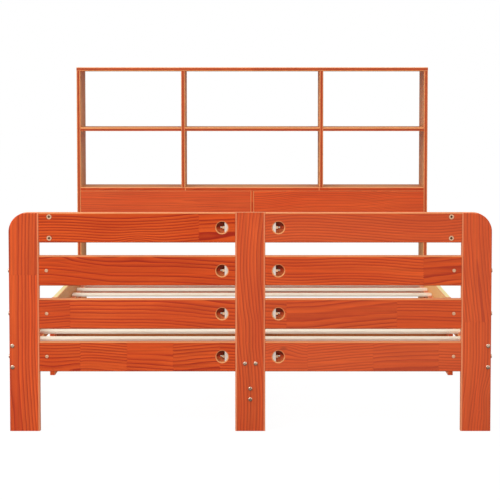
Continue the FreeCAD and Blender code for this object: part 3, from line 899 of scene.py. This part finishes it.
class BED_OT_file_nuts(bpy.types.Operator):
    """Make the chamfered hexagon nuts"""

    bl_idname = "bed.file_nuts"
    bl_label = "File the nuts"

    def execute(self, context):
        metal = context.scene.bed_metal
        for node, width, bore in (("footboard_rod_nuts", 0.013, 0.0041), ("small_nuts", 0.010, 0.0031)):
            in_pocket = node == "footboard_rod_nuts"
            # The nuts in the pockets get painted shade on their sides
            material = plated_steel("shaded_nut_zinc" if in_pocket else "nut_zinc", metal.yellowed, 0.22,
                                    metallic=0.8, dark_sides=in_pocket)
            places, half = centred_places(node, min, lambda axis: UNIT[Y] if axis != Y else UNIT[X])
            flat = width / 2
            corner = flat / math.cos(math.pi / 6)
            nut = bar("nut_pattern", 6, flat, -half, half)
            outline = [(0, -half), (flat * 0.97, -half), (corner * 1.01, -half * 0.72),
                       (corner * 1.01, half * 0.72), (flat * 0.97, half), (0, half)]
            shaped(nut, turned("chamfer_cutter", outline, 36), "INTERSECT")
            shaped(nut, bar("bore_cutter", 28, bore, -half * 2, half * 2))
            set_out(nut, "chamfered_" + node, places, node, material)
        return {"FINISHED"}


class BED_OT_turn_barrel_nuts(bpy.types.Operator):
    """Make the barrel nuts, with a driver slot in line with the bolt"""

    bl_idname = "bed.turn_barrel_nuts"
    bl_label = "Turn the barrel nuts"

    def places(self, node):
        """Seat and ways of each barrel nut, its length, and the depth of its cross bore."""
        places = []
        for points in solids(node):
            low, high, middle = solid_box(points)
            axis = axis_of(points)
            inner = [point for point in points if low[axis] + 0.0001 < point[axis] < high[axis] - 0.0001]
            across = [other for other in (X, Y, Z) if other != axis]
            bolt_axis = max(across, key=lambda other: max(abs(point[other] - middle[other])
                                                          for point in inner))
            crossing = sum(point[axis] for point in inner) / len(inner)
            sign = 1 if high[axis] - crossing > crossing - low[axis] else -1
            seat = middle.copy()
            seat[axis] = high[axis] if sign > 0 else low[axis]
            places.append((seat, UNIT[axis] * sign, UNIT[bolt_axis]))
            length = high[axis] - low[axis]
            depth = abs(seat[axis] - crossing)
        return places, length, depth

    def execute(self, context):
        metal = context.scene.bed_metal
        material = plated_steel("barrel_zinc", metal.yellowed, 0.36, metallic=0.35)
        radius, bore = 0.0049, 0.00305
        for node in ("board_barrel_nuts", "frame_barrel_nuts"):
            places, length, depth = self.places(node)
            section = [(0, -length), (0.0045, -length), (radius, 0.0004 - length), (radius, -0.0006),
                       (0.0046, -0.0002), (0.0040, 0), (0, 0)]
            nut = turned("barrel_pattern", section, 28)
            shaped(nut, laid_over(bar("bore_cutter", 20, bore, -0.008, 0.008), -depth))
            shaped(nut, blade(0.0012, 0.0066, 0.001, -0.0011))
            set_out(nut, "turned_" + node, places, node, material)
        return {"FINISHED"}


class BED_OT_cast_cams(bpy.types.Operator):
    """Make the cams with their dished faces and cross slots"""

    bl_idname = "bed.cast_cams"
    bl_label = "Cast the cams"

    def execute(self, context):
        metal = context.scene.bed_metal
        # The cams get painted shade in their recesses
        material = plated_steel("cam_zinc", metal.yellowed, 0.38, metallic=0.30,
                                dark_from=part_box("cams")[0].y + 0.0010)
        places = []
        for points in solids("cams"):
            low, high, middle = solid_box(points)
            seat = Vector((middle.x, low.y, middle.z))
            places.append((seat, -UNIT[Y], UNIT[X] * (1 if middle.x > 0 else -1)))
            depth, radius = high.y - low.y, (high.x - low.x) / 2
        section = [(0, -depth), (radius * 0.95, -depth), (radius * 0.98, 0.0004 - depth),
                   (radius * 0.98, -0.0005), (radius * 0.95, -0.0001), (radius * 0.90, 0),
                   (radius * 0.80, 0), (radius * 0.77, -0.0003), (radius * 0.46, -0.0004),
                   (radius * 0.40, -0.0022), (radius * 0.30, -0.0026), (0, -0.0026)]
        cam = turned("cam_pattern", section, 32)
        cross_cut(cam, 0.0022, 0.0096, 0.001, -0.0046)
        throat_radius, throat_depth = 0.0034, 0.011
        shaped(cam, laid_over(bar("throat_cutter", 20, throat_radius, 0, 0.012), -throat_depth))
        set_out(cam, "dished_cams", places, "cams", material)
        return {"FINISHED"}


class BED_OT_plate_fittings(bpy.types.Operator):
    """Plate the half-moon washers and the cam pins"""

    bl_idname = "bed.plate_fittings"
    bl_label = "Plate the washers and pins"

    def execute(self, context):
        metal = context.scene.bed_metal
        material = plated_steel("washer_zinc", metal.washer, 0.42, metallic=0.35)
        for name in ("footboard_half_moons", "rail_half_moons", "cam_pins"):
            dress(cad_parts[name], material)
        return {"FINISHED"}


class BED_OT_drive_screws(bpy.types.Operator):
    """Drive the small raised screws of the slats, the ledgers and the bookcase"""

    bl_idname = "bed.drive_screws"
    bl_label = "Drive the screws"

    def screw(self, radius, length):
        """One cross-recessed screw whose rim lies on the wood."""
        rise = radius * 0.24
        section = [(0, -length), (radius * 0.42, 0.002 - length), (radius * 0.42, -radius * 0.7),
                   (radius * 0.97, -0.0001), (radius, 0.0001), (radius * 0.86, rise * 0.52),
                   (radius * 0.60, rise * 0.86), (radius * 0.30, rise), (0, rise)]
        screw = turned("screw_pattern", section, 20)
        return cross_cut(screw, radius * 0.22, radius * 1.15, rise * 2, rise * 0.10)

    def on_slats(self):
        """Seats over both ledgers and over the centre beam."""
        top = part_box("slats")[1].z
        across = [sum(corner.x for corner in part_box(f"slat_ledger_{hand}_foot")) / 2 for hand, _ in HANDS]
        rows = [solid_box(points)[2].y for points in solids("slats")]
        return [(Vector((x, y, top)), UNIT[Z], UNIT[X]) for y in rows for x in (*across, 0)]

    def in_ledgers(self, count=4):
        """Seats spread along the inner face of each ledger."""
        for hand, side in HANDS:
            for end in ("foot", "head"):
                low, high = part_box(f"slat_ledger_{hand}_{end}")
                face = low.x if side > 0 else high.x
                for step in range(count):
                    y = low.y + (high.y - low.y) * (step + 0.5) / count
                    yield Vector((face, y, (low.z + high.z) / 2)), UNIT[X] * -side, UNIT[Y]

    def in_case(self, shares=(0.18, 0.82)):
        """Seats in the bookcase sides at each shelf, and in its top over each upright."""
        for hand, side in HANDS:
            low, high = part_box(f"bookcase_side_{hand}")
            face = high.x if side > 0 else low.x
            for board in (f"bookcase_low_shelf_{hand}", f"bookcase_middle_shelf_{hand}"):
                shelf_low, shelf_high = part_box(board)
                for share in shares:
                    y = low.y + (high.y - low.y) * share
                    yield Vector((face, y, (shelf_low.z + shelf_high.z) / 2)), UNIT[X] * side, UNIT[Y]
            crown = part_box(f"bookcase_top_{hand}")[1].z
            for upright in (f"bookcase_side_{hand}", f"bookcase_divider_{hand}"):
                low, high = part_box(upright)
                for share in shares:
                    y = low.y + (high.y - low.y) * share
                    yield Vector(((low.x + high.x) / 2, y, crown)), UNIT[Z], UNIT[X]

    def execute(self, context):
        metal = context.scene.bed_metal
        material = plated_steel("zinc_plate", metal.zinc, 0.32)
        for name, places, radius, length in (
                ("slat_screws", self.on_slats(), metal.slat_screw_radius, 0.022),
                ("ledger_screws", self.in_ledgers(), metal.slat_screw_radius, 0.026),
                ("bookcase_screws", self.in_case(), metal.case_screw_radius, 0.038)):
            set_out(self.screw(radius, length), name, places, None, material)
        return {"FINISHED"}


class BED_OT_set_stage(bpy.types.Operator):
    """Lay the pale floor and set the light and the camera"""

    bl_idname = "bed.set_stage"
    bl_label = "Set the stage"

    def execute(self, context):
        studio = context.scene.bed_studio
        self.floor()
        self.world(context.scene, studio.world_light)
        self.lamp("key_light", (-3.0, -4.4, 3.6), 2.6, studio.key_power)
        self.lamp("fill_light", (3.8, -4.0, 2.2), 3.0, studio.fill_power)
        self.lamp("top_light", (-0.6, -0.4, 4.6), 3.6, studio.top_power)
        bpy.ops.object.camera_add(location=studio.camera_place,
                                  rotation=(math.pi / 2 - studio.camera_tilt, 0, 0))
        camera = bpy.context.object
        camera.name = "photo_camera"
        camera.data.sensor_width = 36.0
        camera.data.lens = studio.lens
        camera.data.shift_x = -0.01498
        camera.data.shift_y = -0.1
        camera.data.clip_end = 100.0
        context.scene.camera = camera
        context.scene.view_settings.view_transform = "Standard"
        return {"FINISHED"}

    def seen(self, n):
        """1 for rays that show the stage itself."""
        path = n.add("ShaderNodeLightPath").outputs
        return n.larger(path["Is Camera Ray"], path["Is Transmission Ray"])

    def floor(self):
        """A wide pale floor that keeps the soft shadow of the bed, with a painted reflection for shiny
        metal.
        """
        bpy.ops.mesh.primitive_plane_add(size=60)
        floor = bpy.context.object
        floor.name = "studio_floor"
        made, n = new_material("pale_floor")
        spot = n.add("ShaderNodeTexCoord").outputs["Object"]
        grain = n.line(n.noise(spot), 0.01, 0.51)
        matt = n.add("ShaderNodeBsdfDiffuse", {"Color": n.vector(grain, grain, grain)})
        glow = n.add("ShaderNodeEmission", {"Color": (1, 1, 1), "Strength": 1.10})
        share = n.times(self.seen(n), 0.87)
        mixed = n.add("ShaderNodeMixShader", {0: share, 1: matt.outputs[0], 2: glow.outputs[0]})

        # Painted reflection: for glossy rays the floor glows, dimmer near the bed and brighter away from it
        place = n.parts(spot)
        bed_side, bed_foot = 0.72, 1.13
        from_bed = n.larger(n.minus(n.size(place[X]), bed_side), n.minus(n.times(place[Y], -1.0), bed_foot))
        painted_reflection = n.add("ShaderNodeEmission", {"Color": (1.0, 0.93, 0.88),
                                                "Strength": n.rise(from_bed, 0.8, 2.4, 0.16, 0.95)})
        glossy = n.add("ShaderNodeLightPath").outputs["Is Glossy Ray"]
        whole = n.add("ShaderNodeMixShader", {0: glossy, 1: mixed.outputs[0], 2: painted_reflection.outputs[0]})
        n.add("ShaderNodeOutputMaterial", {"Surface": whole.outputs[0]})
        dress(floor, made)

    def world(self, scene, strength):
        """White light, strongest from above, seen as white."""
        world = scene.world or bpy.data.worlds.new("studio_world")
        scene.world = world
        world.use_nodes = True
        world.node_tree.nodes.clear()
        n = Nodes(world.node_tree)
        height = n.parts(n.add("ShaderNodeTexCoord").outputs["Generated"])[2]
        given = n.rise(height, -0.2, 0.8, strength * 0.62, strength * 1.25)
        level = n.line(self.seen(n), n.minus(1.0, given), given)
        sky = n.add("ShaderNodeBackground", {"Color": (1.0, 1.0, 1.0), "Strength": level})
        n.add("ShaderNodeOutputWorld", {"Surface": sky.outputs[0]})

    def lamp(self, name, place, size, power):
        """A wide soft lamp aimed at the middle of the bed."""
        aim = Vector((0, 0, 0.4)) - Vector(place)
        turn = aim.to_track_quat("-Z", "Y").to_euler()
        bpy.ops.object.light_add(type="AREA", location=place, rotation=turn)
        lamp = bpy.context.object
        lamp.name = name
        lamp.data.shape = "DISK"
        lamp.data.size = size
        lamp.data.energy = power


class BED_PT_sidebar(bpy.types.Panel):
    """The steps that dress the bed"""

    bl_idname = "BED_PT_sidebar"
    bl_label = "Storage Headboard Bed"
    bl_space_type = "VIEW_3D"
    bl_region_type = "UI"
    bl_category = "Bed"

    def draw(self, context):
        scene = context.scene
        for step in STEPS:
            self.layout.operator(step.bl_idname)
        for group in (scene.bed_timber, scene.bed_metal, scene.bed_studio):
            for name in group.__annotations__:
                self.layout.prop(group, name)


STEPS = (BED_OT_stain_boards, BED_OT_plane_slats, BED_OT_turn_bolts, BED_OT_thread_rods, BED_OT_file_nuts,
         BED_OT_turn_barrel_nuts, BED_OT_cast_cams, BED_OT_plate_fittings, BED_OT_drive_screws,
         BED_OT_set_stage)
GROUPS = {"bed_timber": BedTimber, "bed_metal": BedMetal, "bed_studio": BedStudio}
CLASSES = (*GROUPS.values(), *STEPS, BED_PT_sidebar)


def register():
    for kind in CLASSES:
        bpy.utils.register_class(kind)
    for name, group in GROUPS.items():
        setattr(bpy.types.Scene, name, bpy.props.PointerProperty(type=group))


def unregister():
    for name in GROUPS:
        delattr(bpy.types.Scene, name)
    for kind in reversed(CLASSES):
        bpy.utils.unregister_class(kind)


def main():
    register()
    bpy.ops.bed.stain_boards()
    bpy.ops.bed.plane_slats()
    bpy.ops.bed.turn_bolts()
    bpy.ops.bed.thread_rods()
    bpy.ops.bed.file_nuts()
    bpy.ops.bed.turn_barrel_nuts()
    bpy.ops.bed.cast_cams()
    bpy.ops.bed.plate_fittings()
    bpy.ops.bed.drive_screws()
    bpy.ops.bed.set_stage()


if __name__ == "__main__":
    main()
